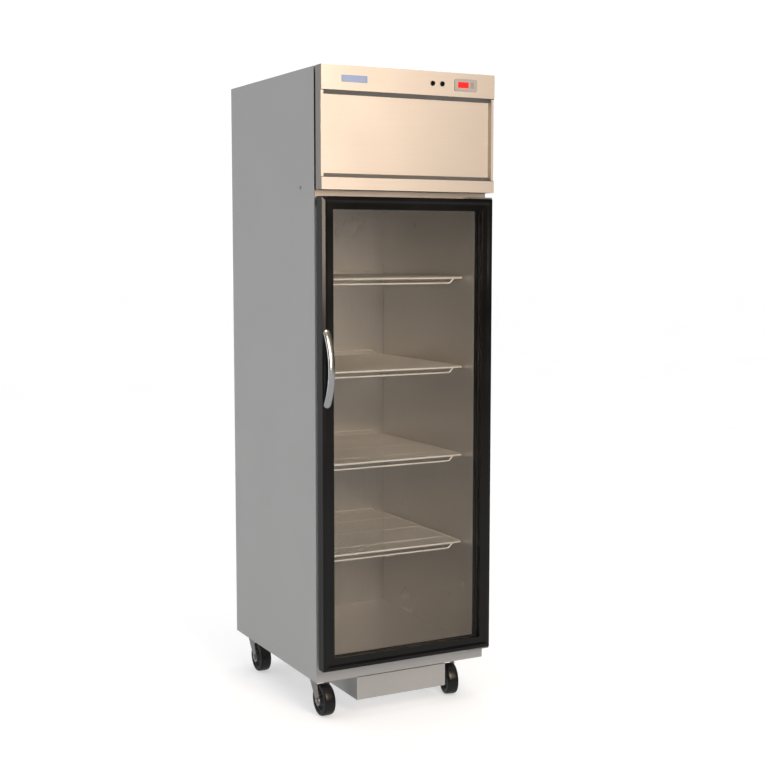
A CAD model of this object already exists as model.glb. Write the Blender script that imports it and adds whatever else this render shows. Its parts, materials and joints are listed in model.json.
"""Looks of an upright proofing cabinet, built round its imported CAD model.

Metres, Z up, the door towards -Y.
"""

import json
import math

import bmesh
import bpy
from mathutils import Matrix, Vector


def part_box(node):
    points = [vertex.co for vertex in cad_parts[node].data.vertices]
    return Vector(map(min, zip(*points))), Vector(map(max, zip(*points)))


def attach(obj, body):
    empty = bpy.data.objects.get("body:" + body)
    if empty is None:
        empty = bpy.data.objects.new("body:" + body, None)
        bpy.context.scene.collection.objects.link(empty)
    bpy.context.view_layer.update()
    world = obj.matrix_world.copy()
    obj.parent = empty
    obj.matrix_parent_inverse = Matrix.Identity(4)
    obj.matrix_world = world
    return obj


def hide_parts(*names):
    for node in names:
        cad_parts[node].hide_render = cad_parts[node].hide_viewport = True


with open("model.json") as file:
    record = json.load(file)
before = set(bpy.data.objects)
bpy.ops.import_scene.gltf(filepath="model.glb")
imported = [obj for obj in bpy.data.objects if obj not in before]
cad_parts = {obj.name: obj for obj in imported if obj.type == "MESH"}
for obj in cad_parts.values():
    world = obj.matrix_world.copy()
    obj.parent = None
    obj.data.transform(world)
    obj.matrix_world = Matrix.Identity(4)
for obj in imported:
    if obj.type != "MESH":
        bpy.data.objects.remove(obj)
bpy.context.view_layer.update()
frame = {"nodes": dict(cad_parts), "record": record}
nodes = frame["nodes"]

MM = 0.001
GLASS_IOR = 1.45
FRONT_FACING = (0.93, 0.98)
SIDE_FACING = (0.05, 0.12)
SIDE_DULLNESS = 0.45


# ---- Small tools ----


def low(node):
    return Vector(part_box(node)[0])


def high(node):
    return Vector(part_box(node)[1])


def solids_of(node):
    """The points of each separate solid of a CAD node, in the shared frame."""
    obj = nodes[node]
    bm = bmesh.new()
    bm.from_mesh(obj.data)
    bmesh.ops.remove_doubles(bm, verts=bm.verts, dist=0.01 * MM)
    seen = set()
    solids = []
    for first in bm.verts:
        if first.index in seen:
            continue
        seen.add(first.index)
        stack = [first]
        points = []
        while stack:
            vert = stack.pop()
            points.append(obj.matrix_world @ vert.co)
            for edge in vert.link_edges:
                other = edge.other_vert(vert)
                if other.index not in seen:
                    seen.add(other.index)
                    stack.append(other)
        solids.append(points)
    bm.free()
    return solids


def piece(name, bm, mat, body, replaces=(), smooth=35):
    """Turns a bmesh into an object that rides on a body and takes its finish from a record slot."""
    mesh = bpy.data.meshes.new(name)
    bmesh.ops.recalc_face_normals(bm, faces=bm.faces)
    bm.to_mesh(mesh)
    bm.free()
    obj = bpy.data.objects.new(name, mesh)
    bpy.context.scene.collection.objects.link(obj)
    mesh.materials.append(mat)
    shade(mesh, smooth)
    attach(obj, body)
    if replaces:
        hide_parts(*replaces)
    return obj


def shade(mesh, angle):
    """Smooth shading, with edges sharper than the angle kept crisp."""
    mesh.shade_smooth()
    bm = bmesh.new()
    bm.from_mesh(mesh)
    limit = math.radians(angle)
    for edge in bm.edges:
        if len(edge.link_faces) == 2 and edge.calc_face_angle(0) > limit:
            edge.smooth = False
    bm.to_mesh(mesh)
    bm.free()


def soften(obj, width, segments=2):
    """Rounds a piece's sharp edges with a small bevel."""
    weld = obj.modifiers.new("weld", "WELD")
    weld.merge_threshold = 0.01 * MM
    bevel = obj.modifiers.new("bevel", "BEVEL")
    bevel.width = width
    bevel.segments = segments
    bevel.limit_method = "ANGLE"
    bevel.angle_limit = math.radians(40)
    bevel.harden_normals = True
    return obj


def loft(bm, rings, closed=False, caps=True):
    """Joins rings of points into a skin. The rings have the same number of points."""
    rows = [[bm.verts.new(p) for p in ring] for ring in rings]
    count = len(rows[0])
    spans = len(rows) if closed else len(rows) - 1
    for i in range(spans):
        a, b = rows[i], rows[(i + 1) % len(rows)]
        for k in range(count):
            n = (k + 1) % count
            bm.faces.new((a[k], a[n], b[n], b[k]))
    if caps and not closed:
        bm.faces.new(list(reversed(rows[0])))
        bm.faces.new(rows[-1])


def circle_points(centre, u, v, radius, sides, flats=0):
    """Points round a circle, or round a polygon with some flats that fits inside it."""
    turn = 2 * math.pi / sides
    points = []
    for k in range(sides):
        t = k * turn
        reach = radius
        if flats:
            wedge = math.pi / flats
            reach *= math.cos(wedge) / math.cos(t % (2 * wedge) - wedge)
        points.append(centre + reach * (math.cos(t) * u + math.sin(t) * v))
    return points


def wire(bm, points, radius, sides=10):
    """A round wire along a line of points, with mitred bends."""
    points = [Vector(p) for p in points]
    ways = [(b - a).normalized() for a, b in zip(points, points[1:])]
    side = ways[0].orthogonal().normalized()
    rings = []
    for i, p in enumerate(points):
        before, after = ways[max(i - 1, 0)], ways[min(i, len(ways) - 1)]
        mean = (before + after).normalized()
        stretch = 1 / max(mean.dot(after), 0.3)
        u = (side - side.dot(mean) * mean).normalized()
        v = mean.cross(u)
        bend = after - before
        if bend.length > 1e-6:
            out = bend.normalized()
            ring = circle_points(Vector(), u, v, radius, sides)
            rings.append([p + q + (stretch - 1) * q.dot(out) * out for q in ring])
        else:
            rings.append(circle_points(p, u, v, radius, sides))
        side = u
    loft(bm, rings)


def bent(points, radius, steps=5):
    """The same line of points, with each corner rounded."""
    points = [Vector(p) for p in points]
    line = [points[0]]
    for before, corner, after in zip(points, points[1:], points[2:]):
        a = (before - corner).normalized()
        b = (after - corner).normalized()
        half = a.angle(b) / 2
        reach = radius / math.tan(half)
        start, end = corner + a * reach, corner + b * reach
        for k in range(steps + 1):
            t = k / steps
            line.append((1 - t) ** 2 * start + 2 * t * (1 - t) * corner + t**2 * end)
    return line + [points[-1]]


def lathe(bm, outline, origin, axis, sides=48, closed=False):
    """Turns an outline about an axis: rows of (radius, distance along it, flats if any), in millimetres."""
    axis = Vector(axis).normalized()
    u = axis.orthogonal().normalized()
    v = axis.cross(u)
    rings = []
    for radius, along, *flats in outline:
        rings.append(circle_points(Vector(origin) + along * MM * axis, u, v, radius * MM, sides, *flats))
    loft(bm, rings, closed)


def frame_sweep(bm, half_w, z0, z1, section):
    """Sweeps a section of (inset from the outer edge, y) round a rectangle, mitred at its corners."""
    corners = [(-1, z0, 1), (1, z0, 1), (1, z1, -1), (-1, z1, -1)]
    rings = []
    for side, z, up in corners:
        rings.append([Vector((side * (half_w - inset), y, z + up * inset)) for inset, y in section])
    loft(bm, rings, closed=True)


# ---- Materials ----


def linear(channel):
    """A display value from 0 to 255 as an amount of light."""
    share = channel / 255
    return share / 12.92 if channel <= 10 else ((share + 0.055) / 1.055) ** 2.4


def srgb(r, g, b):
    """A colour from 0 to 255 as light, with alpha."""
    return (linear(r), linear(g), linear(b), 1)


class Nodes:
    """Builds a material's node tree on one Principled shader."""

    def __init__(self, name):
        self.mat = bpy.data.materials.new(name)
        self.mat.use_nodes = True
        self.tree = self.mat.node_tree
        self.shader = self.tree.nodes["Principled BSDF"]
        self.place = self.add("ShaderNodeTexCoord").outputs["Object"]

    def add(self, kind, **sockets):
        node = self.tree.nodes.new(kind)
        for key, value in sockets.items():
            node.inputs[key.replace("_", " ")].default_value = value
        return node

    def link(self, a, b):
        self.tree.links.new(a, b)

    def noise(self, scale, detail=3, stretch=(1, 1, 1)):
        """Noise at a scale per metre, stretched by a factor along each axis."""
        mapping = self.add("ShaderNodeMapping", Scale=stretch)
        noise = self.add("ShaderNodeTexNoise", Scale=scale, Detail=detail)
        self.link(self.place, mapping.inputs["Vector"])
        self.link(mapping.outputs["Vector"], noise.inputs["Vector"])
        return noise.outputs["Fac"]

    def spread(self, value, lo, hi, inner=0.3, outer=0.7):
        """Maps noise to a range of numbers."""
        node = self.add("ShaderNodeMapRange")
        node.inputs["From Min"].default_value = inner
        node.inputs["From Max"].default_value = outer
        node.inputs["To Min"].default_value = lo
        node.inputs["To Max"].default_value = hi
        self.link(value, node.inputs["Value"])
        return node.outputs["Result"]

    def tint(self, fac, a, b):
        """A colour between a and b."""
        node = self.tree.nodes.new("ShaderNodeMix")
        node.data_type = "RGBA"
        self.link(fac, node.inputs["Factor"])
        for socket, colour in ((node.inputs[6], a), (node.inputs[7], b)):
            if isinstance(colour, tuple):
                socket.default_value = colour
            else:
                self.link(colour, socket)
        return node.outputs[2]

    def colour(self, value):
        self.link(value, self.shader.inputs["Base Color"])

    def rough(self, value):
        self.link(value, self.shader.inputs["Roughness"])

    def bump(self, height, depth, strength=0.5):
        node = self.add("ShaderNodeBump", Strength=strength, Distance=depth)
        self.link(height, node.inputs["Height"])
        self.link(node.outputs["Normal"], self.shader.inputs["Normal"])

    def set(self, **sockets):
        for key, value in sockets.items():
            self.shader.inputs[key.replace("_", " ")].default_value = value
        return self


def scaled(colour, k):
    return tuple(c * k for c in colour[:3]) + (1,)


def plain(name, colour, rough, metal=0.0, grain=700, depth=0.04 * MM, change=0.12, coat=0.0):
    """Moulded or painted: slow mottling in colour and gloss over a fine grain."""
    n = Nodes(name)
    slow = n.noise(6, 4)
    fine = n.noise(grain, 2)
    n.colour(n.tint(n.spread(slow, 0, 1), scaled(colour, 1 - change), scaled(colour, 1 + change)))
    n.rough(n.spread(slow, rough - 0.06, rough + 0.06))
    n.bump(fine, depth)
    n.set(Metallic=metal, Coat_Weight=coat, Coat_Roughness=0.08)
    return n.mat


def brushed(name, colour, rough, stretch, metal=1.0, change=0.06, depth=0.02 * MM, slopes=None):
    """Sheet steel with long fine brush lines, and slow clouds where it was handled.

    A colour for slopes goes on pressed faces that lean forwards, where the sheet is duller, and partly
    on the sides.
    """
    n = Nodes(name)
    lines = n.noise(1, 4, stretch)
    clouds = n.noise(4, 5)
    grain = n.noise(900, 2)
    both = n.add("ShaderNodeMath")
    both.operation = "MULTIPLY_ADD"
    both.inputs[1].default_value = 0.35
    n.link(grain, both.inputs[0])
    n.link(lines, both.inputs[2])
    base = n.tint(n.spread(lines, 0, 1), scaled(colour, 1 - change), scaled(colour, 1 + change))
    base = n.tint(n.spread(clouds, 0, 0.35), base, scaled(colour, 1 - 1.5 * change))
    if slopes:
        axes = n.add("ShaderNodeSeparateXYZ")
        n.link(n.place.node.outputs["Normal"], axes.inputs["Vector"])
        facing = n.add("ShaderNodeMath")
        facing.operation = "ABSOLUTE"
        n.link(axes.outputs["Y"], facing.inputs[0])
        lean = n.add("ShaderNodeMath")
        lean.operation = "MULTIPLY"
        n.link(n.spread(facing.outputs[0], 1, 0, *FRONT_FACING), lean.inputs[0])
        n.link(n.spread(facing.outputs[0], SIDE_DULLNESS, 1, *SIDE_FACING), lean.inputs[1])
        base = n.tint(lean.outputs[0], base, slopes)
    n.colour(base)
    n.rough(n.spread(clouds, rough - 0.05, rough + 0.07))
    n.bump(both.outputs[0], depth, 0.4)
    n.set(Metallic=metal)
    return n.mat


def glass_pane():
    """Clear glass whose outer faces mirror more at a slant. Its inner faces let everything through."""
    n = Nodes("pane_glass")
    n.tree.nodes.remove(n.shader)
    clear = n.add("ShaderNodeBsdfTransparent", Color=(0.98, 0.978, 0.975, 1))
    mirror = n.add("ShaderNodeBsdfGlossy", Color=(0.7, 0.7, 0.7, 1), Roughness=0.02)
    smear = n.noise(5, 5)
    n.link(n.spread(smear, 0.01, 0.05), mirror.inputs["Roughness"])
    edge = n.add("ShaderNodeFresnel", IOR=GLASS_IOR)
    surface = n.add("ShaderNodeNewGeometry")
    shine = n.tree.nodes.new("ShaderNodeMix")
    shine.data_type = "FLOAT"
    n.link(surface.outputs["Backfacing"], shine.inputs["Factor"])
    n.link(edge.outputs["Fac"], shine.inputs["A"])
    shine.inputs["B"].default_value = 0
    mix = n.add("ShaderNodeMixShader")
    n.link(shine.outputs["Result"], mix.inputs["Fac"])
    n.link(clear.outputs[0], mix.inputs[1])
    n.link(mirror.outputs[0], mix.inputs[2])
    n.link(mix.outputs[0], n.tree.nodes["Material Output"].inputs["Surface"])
    return n.mat


def lit_display():
    """A red window lit from behind, a little brighter in its middle."""
    n = Nodes("lit_display")
    dots = n.noise(900, 1)
    n.colour(n.tint(n.spread(dots, 0, 1), srgb(215, 20, 18), srgb(250, 40, 36)))
    n.rough(n.spread(dots, 0.18, 0.26))
    n.set(Emission_Color=srgb(255, 38, 36), Emission_Strength=0.85)
    return n.mat


grey_paint = plain("grey_paint", srgb(170, 170, 170), 0.5, change=0.02, depth=0.02 * MM)
dull_steel = srgb(146, 150, 152)
hood_steel = brushed(
    "hood_steel", srgb(232, 223, 214), 0.57, (6, 500, 900), metal=0.97, change=0.02, slopes=dull_steel
)
liner_steel = brushed("liner_steel", srgb(226, 224, 221), 0.31, (700, 700, 10), metal=0.92)
foam = plain("foam", srgb(214, 198, 150), 0.9, grain=250, depth=0.5 * MM)
frame_black = plain("frame_black", srgb(18, 17, 16), 0.17, change=0.15, depth=0.003 * MM)
gasket_rubber = plain("gasket_rubber", srgb(20, 20, 20), 0.65, change=0.2)
spacer_dark = plain("spacer_dark", srgb(34, 33, 32), 0.5, change=0.15)
satin_chrome = brushed(
    "satin_chrome", srgb(244, 244, 244), 0.27, (900, 900, 30), change=0.04, depth=0.01 * MM
)
wire_zinc = plain("wire_zinc", srgb(238, 232, 222), 0.38, metal=0.2, change=0.06)
zinc_plate = brushed("zinc_plate", srgb(186, 186, 184), 0.36, (300, 300, 300), metal=0.9)
tyre_rubber = plain("tyre_rubber", srgb(24, 23, 22), 0.3, grain=420, depth=0.05 * MM, change=0.25)
hub_plastic = plain("hub_plastic", srgb(82, 82, 82), 0.5, change=0.1)
bezel_plastic = plain("bezel_plastic", srgb(160, 156, 152), 0.42, change=0.04)
display_red = lit_display()
key_rubber = plain("key_rubber", srgb(150, 136, 120), 0.6, change=0.08)
button_black = plain("button_black", srgb(14, 13, 12), 0.18, change=0.1, coat=0.6)
plate_satin = brushed("plate_satin", srgb(150, 166, 204), 0.4, (8, 700, 700), metal=0.5)
motor_paint = plain("motor_paint", srgb(56, 58, 60), 0.5)
fan_sheet = brushed("fan_sheet", srgb(206, 207, 209), 0.34, (300, 300, 300))
heater_tube = plain("heater_tube", srgb(110, 98, 90), 0.45, metal=0.9, change=0.3)
gland_nylon = plain("gland_nylon", srgb(26, 26, 27), 0.5)
clear_glass = glass_pane()

SLOT_MATERIAL = {
    "painted_grey": grey_paint,
    "hood_steel": hood_steel,
    "liner_steel": liner_steel,
    "foam": foam,
    "door_frame": frame_black,
    "gasket": gasket_rubber,
    "glass": clear_glass,
    "spacer": spacer_dark,
    "handle": satin_chrome,
    "wire": wire_zinc,
    "zinc": zinc_plate,
    "tyre": tyre_rubber,
    "hub": hub_plastic,
    "bezel": bezel_plastic,
    "display": display_red,
    "key": key_rubber,
    "button": button_black,
    "name_plate": plate_satin,
    "motor": motor_paint,
    "fan": fan_sheet,
    "heater": heater_tube,
    "gland": gland_nylon,
}
for part in frame["record"]["subparts"]:
    nodes[part["node"]].data.materials.clear()
    nodes[part["node"]].data.materials.append(SLOT_MATERIAL[part["material_slot"]])


# ---- CAD nodes that stay, with their edges rounded ----

SHEET_EDGE = 0.5 * MM
SOFT_EDGES = {
    SHEET_EDGE: (
        "side_panel_left side_panel_right top_panel base_pan ceiling_pan front_stile_left "
        "front_stile_right hood_panel drip_tray tray_runners name_plate hinge_plates hood_brackets"
    ).split(),
    0.6 * MM: ["hood_shell", "caster_plates", "key_up", "key_down", "thermostat_display"],
    0.8 * MM: ["door_rail_top", "door_rail_bottom", "door_rail_left", "door_rail_right"],
    1.0 * MM: ["thermostat_case", "fan_motor", "cable_gland"],
}
for width, names in SOFT_EDGES.items():
    for name in names:
        soften(nodes[name], width)
for corner in ("front_left", "front_right", "rear_left", "rear_right"):
    soften(nodes["fork_" + corner], 0.5 * MM)
    soften(nodes["hub_" + corner], 0.6 * MM)


# ---- Shelves ----

MESH_WIRES = 55
MESH_R = 1.3 * MM
EDGE_R = 3 * MM
CROSS_R = 2.5 * MM
CROSS_PLACES = (0.175, 0.505, 0.822)
TRUSS_DROP = 16 * MM
RAIL_RISE = 20 * MM
TRUSS_INSET = 51 * MM
BEND_R = 8 * MM
SINK = 0.4 * MM
MESH_END = 1 * MM


def wire_shelf(number):
    """A shelf of welded wires: a rod frame, cross rods, fine wires on top, a truss and a rear rail."""
    node = f"shelf_{number}"
    lo, hi = low(node), high(node)
    half = hi.x
    flat = half - TRUSS_INSET
    frame_z = lo.z + TRUSS_DROP + CROSS_R
    top = frame_z + EDGE_R - SINK + 2 * MESH_R
    front, rear = lo.y + EDGE_R, hi.y - EDGE_R
    bm = bmesh.new()
    x = half - EDGE_R
    corners = [(0, front), (x, front), (x, rear), (-x, rear), (-x, front), (0, front)]
    wire(bm, bent([(across, y, frame_z) for across, y in corners], BEND_R), EDGE_R, 12)
    for place in CROSS_PLACES:
        y = lo.y + place * (hi.y - lo.y)
        z = top - 2 * MESH_R - CROSS_R + SINK
        wire(bm, [(-x, y, z), (x, y, z)], CROSS_R)
    for k in range(MESH_WIRES):
        at = (half - MESH_R) * (2 * k / (MESH_WIRES - 1) - 1)
        if abs(at) > x + EDGE_R - BEND_R:
            ends = (front + BEND_R, rear - BEND_R)
        else:
            ends = (lo.y + MESH_END, hi.y - MESH_END)
        wire(bm, [(at, ends[0], top - MESH_R), (at, ends[1], top - MESH_R)], MESH_R, 8)
    for y, rise in ((front, -TRUSS_DROP), (rear, RAIL_RISE)):
        foot = flat + abs(rise)
        bar_z = frame_z + rise
        line = [(-foot, y, frame_z), (-flat, y, bar_z), (flat, y, bar_z), (foot, y, frame_z)]
        wire(bm, bent(line, BEND_R), CROSS_R, 10)
    return piece(f"wire_shelf_{number}", bm, wire_zinc, node, [node], smooth=50)


for number in (1, 2, 3, 4):
    wire_shelf(number)


# ---- Door ----

GRIP_END_W = 12 * MM
GRIP_MID_W = 10.5 * MM
GRIP_THICK = 5.6 * MM
GRIP_STEPS = 40
GRIP_SIDES = 28
GRIP_SQUARENESS = (0.62, 0.85)
COLLAR_W = 11.6 * MM
COLLAR_H = 11.8 * MM
COLLAR_INSET = 14 * MM
COLLAR_SIDES = 32
COLLAR_STEPS = ((1.0, 3.4), (1.0, 0.2), (0.98, -0.8), (0.9, -1.6), (0.72, -2.0))
GASKET_W = 11.5


def squared(value, power):
    """A sine or cosine drawn towards its ends, which squares a round section."""
    return math.copysign(abs(value) ** power, value)


def bow_handle():
    """A bow grip: a flattened round section, widest at its feet, that follows the CAD arc."""
    lo, hi = low("door_handle"), high("door_handle")
    face = low("door_rail_left").y
    reach = face - lo.y - 6 * MM
    half = (hi.z - lo.z) / 2 - 12 * MM
    radius = (half * half / reach + reach) / 2
    centre = Vector(((lo.x + hi.x) / 2, face - reach + radius, (lo.z + hi.z) / 2))
    turn = math.degrees(math.asin(half / radius))
    bm = bmesh.new()
    rings = []
    for k in range(GRIP_STEPS + 1):
        share = 2 * k / GRIP_STEPS - 1
        t = math.radians(share * turn)
        out = Vector((0, -math.cos(t), math.sin(t)))
        at = centre + radius * out
        width = GRIP_MID_W + (GRIP_END_W - GRIP_MID_W) * share * share
        ring = []
        for i in range(GRIP_SIDES):
            a = 2 * math.pi * i / GRIP_SIDES
            across = squared(math.cos(a), GRIP_SQUARENESS[0]) * width
            through = squared(math.sin(a), GRIP_SQUARENESS[1]) * GRIP_THICK
            ring.append(at + Vector((across, 0, 0)) + through * out)
        rings.append(ring)
    loft(bm, rings)
    return piece("bow_grip", bm, satin_chrome, "door", ["door_handle"], smooth=60)


def handle_feet():
    """Two oval collars that seat the grip on the rail."""
    lo, hi = low("door_handle"), high("door_handle")
    face = low("door_rail_left").y
    x = (lo.x + hi.x) / 2
    bm = bmesh.new()
    for z in (lo.z + COLLAR_INSET, hi.z - COLLAR_INSET):
        rings = []
        for spread, y in COLLAR_STEPS:
            ring = []
            for i in range(COLLAR_SIDES):
                a = 2 * math.pi * i / COLLAR_SIDES
                across = math.cos(a) * COLLAR_W * spread
                along = math.sin(a) * COLLAR_H * spread
                ring.append(Vector((x + across, face + y * MM, z + along)))
            rings.append(ring)
        loft(bm, rings)
    return piece("grip_feet", bm, satin_chrome, "door", smooth=60)


bow_handle()
handle_feet()


def bellows_gasket():
    """A hollow magnetic gasket: a soft lip with two folds, mitred at its corners."""
    lo, hi = low("door_gasket"), high("door_gasket")
    deep = (hi.y - lo.y) / MM
    chamber_side = [(1.5, 0), (1.5, 0.16), (3.2, 0.22), (3.2, 0.36), (0.6, 0.46)]
    chamber_side += [(0.6, 0.60), (2.4, 0.68), (0.4, 0.80), (0.8, 0.97), (2.5, 1.0)]
    outer_side = [(2.5, 1.0), (0.8, 0.97), (0.2, 0.80), (2.2, 0.68), (0.6, 0.60)]
    outer_side += [(0.6, 0.46), (3.2, 0.36), (3.2, 0.22), (1.5, 0.16)]
    outline = [(1.5, 0)] + [(GASKET_W - inset, share) for inset, share in chamber_side] + outer_side
    section = [(a * MM, lo.y + b * deep * MM) for a, b in outline]
    bm = bmesh.new()
    frame_sweep(bm, hi.x, lo.z, hi.z, section)
    return piece("bellows_gasket", bm, gasket_rubber, "door", ["door_gasket"])


bellows_gasket()


# ---- Casters and screws ----

CORNERS = ("front_left", "front_right", "rear_left", "rear_right")
JOINTS = {joint["name"]: joint for joint in frame["record"]["behaviour"]["joints"]}
HEAD = 2.0
SHANK = [(3, -10), (3, 0)]
DOME = [(5, 0), (5, 0.8), (4.7, 1.4), (4.0, 1.8), (3.2, HEAD)]
SOCKET = [(2.6, HEAD, 6), (2.5, 1.9, 6), (2.5, 0.9, 6)]
DRUM_R = 21.5
BEAD_STARTS = (-12.4, -4.4)
BEAD = ((DRUM_R, 0), (22.4, 0), (23.3, 0.8), (23.3, 2.8), (22.4, 3.6), (DRUM_R, 3.6))


def socket_screws():
    """Round-headed screws with a hexagon socket, each where the CAD has its plain screw."""
    bm = bmesh.new()
    for points in solids_of("screws"):
        lo = Vector([min(p[i] for p in points) for i in range(3)])
        hi = Vector([max(p[i] for p in points) for i in range(3)])
        axis = max(range(3), key=lambda i: (hi - lo)[i])
        out = Vector((0, 0, 0))
        out[axis] = 1
        mid = (lo + hi) / 2
        reach = []
        for end in (lo[axis], hi[axis]):
            rim = [p for p in points if abs(p[axis] - end) < 0.1 * MM]
            reach.append(max((p - mid).cross(out).length for p in rim))
        tip = mid.copy()
        tip[axis] = hi[axis]
        if reach[0] > reach[1]:
            out = -out
            tip[axis] = lo[axis]
        lathe(bm, SHANK + DOME + SOCKET, tip - HEAD * MM * out, out, 24)
    return piece("socket_screws", bm, zinc_plate, "cabinet", ["screws"])


def tread(corner):
    """A solid rubber tyre with a crowned tread, round shoulders and a moulded line on each wall."""
    joint = JOINTS["spin_" + corner]
    centre, axis = Vector(joint["pos_m"]), Vector(joint["axis"]).normalized()
    points = [p - centre for p in solids_of("tyre_" + corner)[0]]
    along = [p.dot(axis) / MM for p in points]
    reach = [p.cross(axis).length / MM for p in points]
    bore, outer, half = min(reach), max(reach), (max(along) - min(along)) / 2
    shift = (max(along) + min(along)) / 2
    wall = [(bore, half), (bore + 3.2, half), (bore + 3.8, half - 0.8), (bore + 4.4, half)]
    wall += [(outer - 5, half), (outer - 2.6, half - 0.9), (outer - 1, half - 2.8)]
    wall += [(outer - 0.3, half - 7), (outer, half - 13)]
    outline = [(r, shift - a) for r, a in wall] + [(r, shift + a) for r, a in reversed(wall)]
    bm = bmesh.new()
    lathe(bm, outline, centre, axis, 96, closed=True)
    return piece("tread_" + corner, bm, tyre_rubber, "wheel_" + corner, ["tyre_" + corner], smooth=32)


def race_rings(corner):
    """Two rolled beads round the fork's swivel drum, that close its ball races."""
    joint = JOINTS["swivel_" + corner]
    top = high("fork_" + corner).z
    x, y, _ = joint["pos_m"]
    bm = bmesh.new()
    for start in BEAD_STARTS:
        lathe(bm, [(r, start + a) for r, a in BEAD], (x, y, top), (0, 0, 1), 64, closed=True)
    return piece("race_rings_" + corner, bm, zinc_plate, "fork_" + corner, smooth=50)


socket_screws()
for corner in CORNERS:
    tread(corner)
    race_rings(corner)


# ---- Back and hood fittings ----

LOUVRE_ROWS = 9
LOUVRE_PITCH = 22 * MM
LOUVRE_DROP = 70 * MM
LOUVRE_X = 110 * MM
LOUVRE_HALF = 95 * MM
RIVET_INSET = 10 * MM
RIVET_GAP = 150 * MM
RIVET_OUTLINE = ((3.2, -0.2), (3.2, 0), (3.0, 0.5), (2.3, 1.0), (1.2, 1.3), (0.3, 1.4))
LOUVRE_OUTSIDE = [(-0.2, 9), (1.6, 8.4), (3.6, 6.2), (5.2, 2.8), (6, -2.6), (6, -4)]
LOUVRE_INSIDE = [(5.2, -4), (5.2, -2.6), (4.4, 2.4), (3, 5.4), (1.2, 7.2), (-0.2, 7.6)]
LOUVRE_ENDS = ((0, 0.05), (3, 0.55), (8, 0.9), (14, 1))
RIM_SECTION = ((0.6, -0.1), (0.6, 0.25), (0.9, 0.5), (1.5, 0.5), (1.8, 0.25), (1.8, -0.1))
PIN_INSET = 4.5 * MM
PIN_SCALE = 0.5


def louvre_hoods():
    """Pressed hoods over the slots of the back panel, open at their lower edge."""
    back, top = high("back_panel").y, high("back_panel").z
    section = LOUVRE_OUTSIDE + LOUVRE_INSIDE
    steps = [(-1, inset, depth) for inset, depth in LOUVRE_ENDS]
    steps += [(1, inset, depth) for inset, depth in reversed(LOUVRE_ENDS)]
    bm = bmesh.new()
    for row in range(LOUVRE_ROWS):
        z = top - LOUVRE_DROP - row * LOUVRE_PITCH
        for side in (-1, 1):
            rings = []
            for end, inset, depth in steps:
                x = side * LOUVRE_X + end * (LOUVRE_HALF - inset * MM)
                rings.append([Vector((x, back + y * depth * MM, z + up * MM)) for y, up in section])
            loft(bm, rings)
    return piece("louvre_hoods", bm, grey_paint, "cabinet", smooth=50)


def back_rivets():
    """Blind rivets down both edges of the back panel."""
    lo, hi = low("back_panel"), high("back_panel")
    count = int((hi.z - lo.z - 4 * RIVET_INSET) / RIVET_GAP)
    gap = (hi.z - lo.z - 4 * RIVET_INSET) / count
    bm = bmesh.new()
    for side in (-1, 1):
        for k in range(count + 1):
            at = (side * (hi.x - RIVET_INSET), hi.y, lo.z + 2 * RIVET_INSET + k * gap)
            lathe(bm, RIVET_OUTLINE, at, (0, 1, 0), 20)
    return piece("back_rivets", bm, zinc_plate, "cabinet", smooth=60)


def plate_rim():
    """A raised border round the blank name plate, with a pin at each end."""
    lo, hi = low("name_plate"), high("name_plate")
    rings = []
    corners = ((lo.x, lo.z, 1, 1), (hi.x, lo.z, -1, 1), (hi.x, hi.z, -1, -1), (lo.x, hi.z, 1, -1))
    for x, z, right, up in corners:
        ring = []
        for inset, out in RIM_SECTION:
            ring.append(Vector((x + right * inset * MM, lo.y - out * MM, z + up * inset * MM)))
        rings.append(ring)
    bm = bmesh.new()
    loft(bm, rings, closed=True)
    pin = [(r * PIN_SCALE, a * PIN_SCALE) for r, a in RIVET_OUTLINE]
    for x in (lo.x + PIN_INSET, hi.x - PIN_INSET):
        lathe(bm, pin, (x, lo.y, (lo.z + hi.z) / 2), (0, -1, 0), 20)
    return piece("plate_rim", bm, plate_satin, "hood", smooth=50)


louvre_hoods()
back_rivets()
plate_rim()


# ---- Camera, light and floor ----

AIM = Vector((-0.0622, -0.2895, 1.0438))
CAMERA_DISTANCE = 4.2
CAMERA_AZIMUTH = -27.68
CAMERA_HEIGHT = 5.688
LENS = 63.31
ROOM_LOW = 0.34
ROOM_AHEAD = 0.03
ROOM_BEHIND = 0.42
FLOOR_GLOW = 0.52
SUN_STRENGTH = 2.2
BACKDROP_GLOW = 1.05
SUN_ANGLE = 80
SOFT_BOX_POWER = 95
SOFT_BOX_COLOUR = (1.0, 0.845, 0.69)
SIDE_BOX_POWER = 20
FLOOR_SIZE = 40


def camera():
    data = bpy.data.cameras.new("camera")
    data.lens = LENS
    data.sensor_width = 36
    data.sensor_fit = "HORIZONTAL"
    cam = bpy.data.objects.new("camera", data)
    a, e = math.radians(CAMERA_AZIMUTH), math.radians(CAMERA_HEIGHT)
    back = Vector((math.sin(a) * math.cos(e), -math.cos(a) * math.cos(e), math.sin(e)))
    cam.location = AIM + CAMERA_DISTANCE * back
    cam.rotation_euler = (-back).to_track_quat("-Z", "Y").to_euler()
    bpy.context.scene.collection.objects.link(cam)
    bpy.context.scene.camera = cam


def put_light(data, at, aim, shines=True):
    """Places a light that the camera doesn't see, and that glossy surfaces mirror only if it shines."""
    light = bpy.data.objects.new(data.name, data)
    light.location = at
    light.rotation_euler = (Vector(aim) - Vector(at)).to_track_quat("-Z", "Y").to_euler()
    light.visible_camera = False
    light.visible_glossy = shines
    bpy.context.scene.collection.objects.link(light)


def soft_box(name, at, aim, size, power, colour):
    data = bpy.data.lights.new(name, "AREA")
    data.shape = "RECTANGLE"
    data.size, data.size_y = size
    data.energy = power
    data.color = colour
    put_light(data, at, aim)


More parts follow.
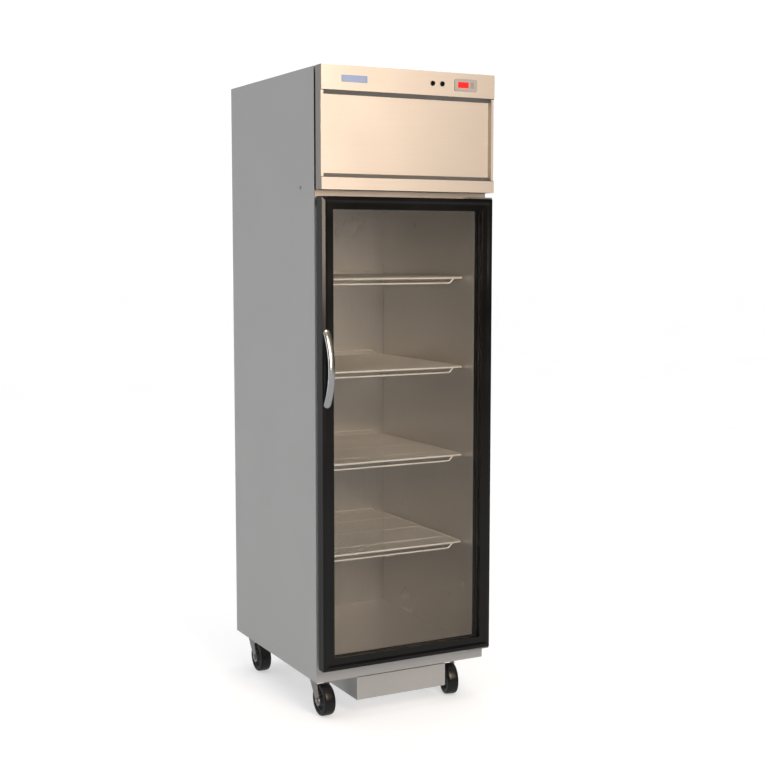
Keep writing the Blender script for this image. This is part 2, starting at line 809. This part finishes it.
def overhead_sun():
    """A wide soft light from above that keeps the floor white."""
    data = bpy.data.lights.new("overhead", "SUN")
    data.energy = SUN_STRENGTH
    data.angle = math.radians(SUN_ANGLE)
    put_light(data, (0, 0, 5), (0, 0, 0), shines=False)


def ramp(tree, value, start, end, first, last):
    """Goes smoothly from one number to another as a value goes from start to end."""
    node = tree.nodes.new("ShaderNodeMapRange")
    node.interpolation_type = "SMOOTHSTEP"
    for socket, number in (("From Min", start), ("From Max", end), ("To Min", first), ("To Max", last)):
        node.inputs[socket].default_value = number
    tree.links.new(value, node.inputs["Value"])
    return node.outputs["Result"]


def studio():
    """A white backdrop for the camera, a dim room for the rest, and soft boxes in front and at the side."""
    world = bpy.data.worlds.new("studio")
    world.use_nodes = True
    tree = world.node_tree
    backdrop = tree.nodes["Background"]
    backdrop.inputs["Color"].default_value = (1, 1, 1, 1)
    backdrop.inputs["Strength"].default_value = BACKDROP_GLOW
    room = tree.nodes.new("ShaderNodeBackground")
    room.inputs["Color"].default_value = (0.97, 0.98, 1, 1)
    way = tree.nodes.new("ShaderNodeTexCoord")
    axes = tree.nodes.new("ShaderNodeSeparateXYZ")
    tree.links.new(way.outputs["Generated"], axes.inputs["Vector"])
    behind = ramp(tree, axes.outputs["Y"], -0.1, 0.6, ROOM_AHEAD, ROOM_BEHIND)
    rise = ramp(tree, axes.outputs["Z"], -0.2, -0.06, ROOM_LOW, ROOM_AHEAD)
    tree.links.new(behind, rise.node.inputs["To Max"])
    tree.links.new(rise, room.inputs["Strength"])
    path = tree.nodes.new("ShaderNodeLightPath")
    mix = tree.nodes.new("ShaderNodeMixShader")
    tree.links.new(path.outputs["Is Camera Ray"], mix.inputs["Fac"])
    tree.links.new(room.outputs[0], mix.inputs[1])
    tree.links.new(backdrop.outputs[0], mix.inputs[2])
    tree.links.new(mix.outputs[0], tree.nodes["World Output"].inputs["Surface"])
    bpy.context.scene.world = world
    bpy.context.scene.view_settings.view_transform = "Standard"
    soft_box("front", (0.05, -3.4, 2.65), (0.05, -0.3, 2.2), (0.7, 2.9), SOFT_BOX_POWER, SOFT_BOX_COLOUR)
    soft_box("side", (-4.4, 1.2, 1.2), (-0.3, 0, 0.8), (3, 2), SIDE_BOX_POWER, (1, 1, 1))
    overhead_sun()


def pale_floor():
    bm = bmesh.new()
    bmesh.ops.create_grid(bm, x_segments=1, y_segments=1, size=FLOOR_SIZE)
    mesh = bpy.data.meshes.new("floor")
    bm.to_mesh(mesh)
    bm.free()
    n = Nodes("floor_white")
    n.colour(n.tint(n.spread(n.noise(1.5), 0, 1), (0.54, 0.54, 0.54, 1), (0.58, 0.58, 0.58, 1)))
    n.set(Roughness=0.8, Specular_IOR_Level=0.1, Emission_Color=(1, 1, 1, 1), Emission_Strength=FLOOR_GLOW)
    mesh.materials.append(n.mat)
    floor = bpy.data.objects.new("floor", mesh)
    floor.visible_glossy = False
    bpy.context.scene.collection.objects.link(floor)


camera()
studio()
pale_floor()
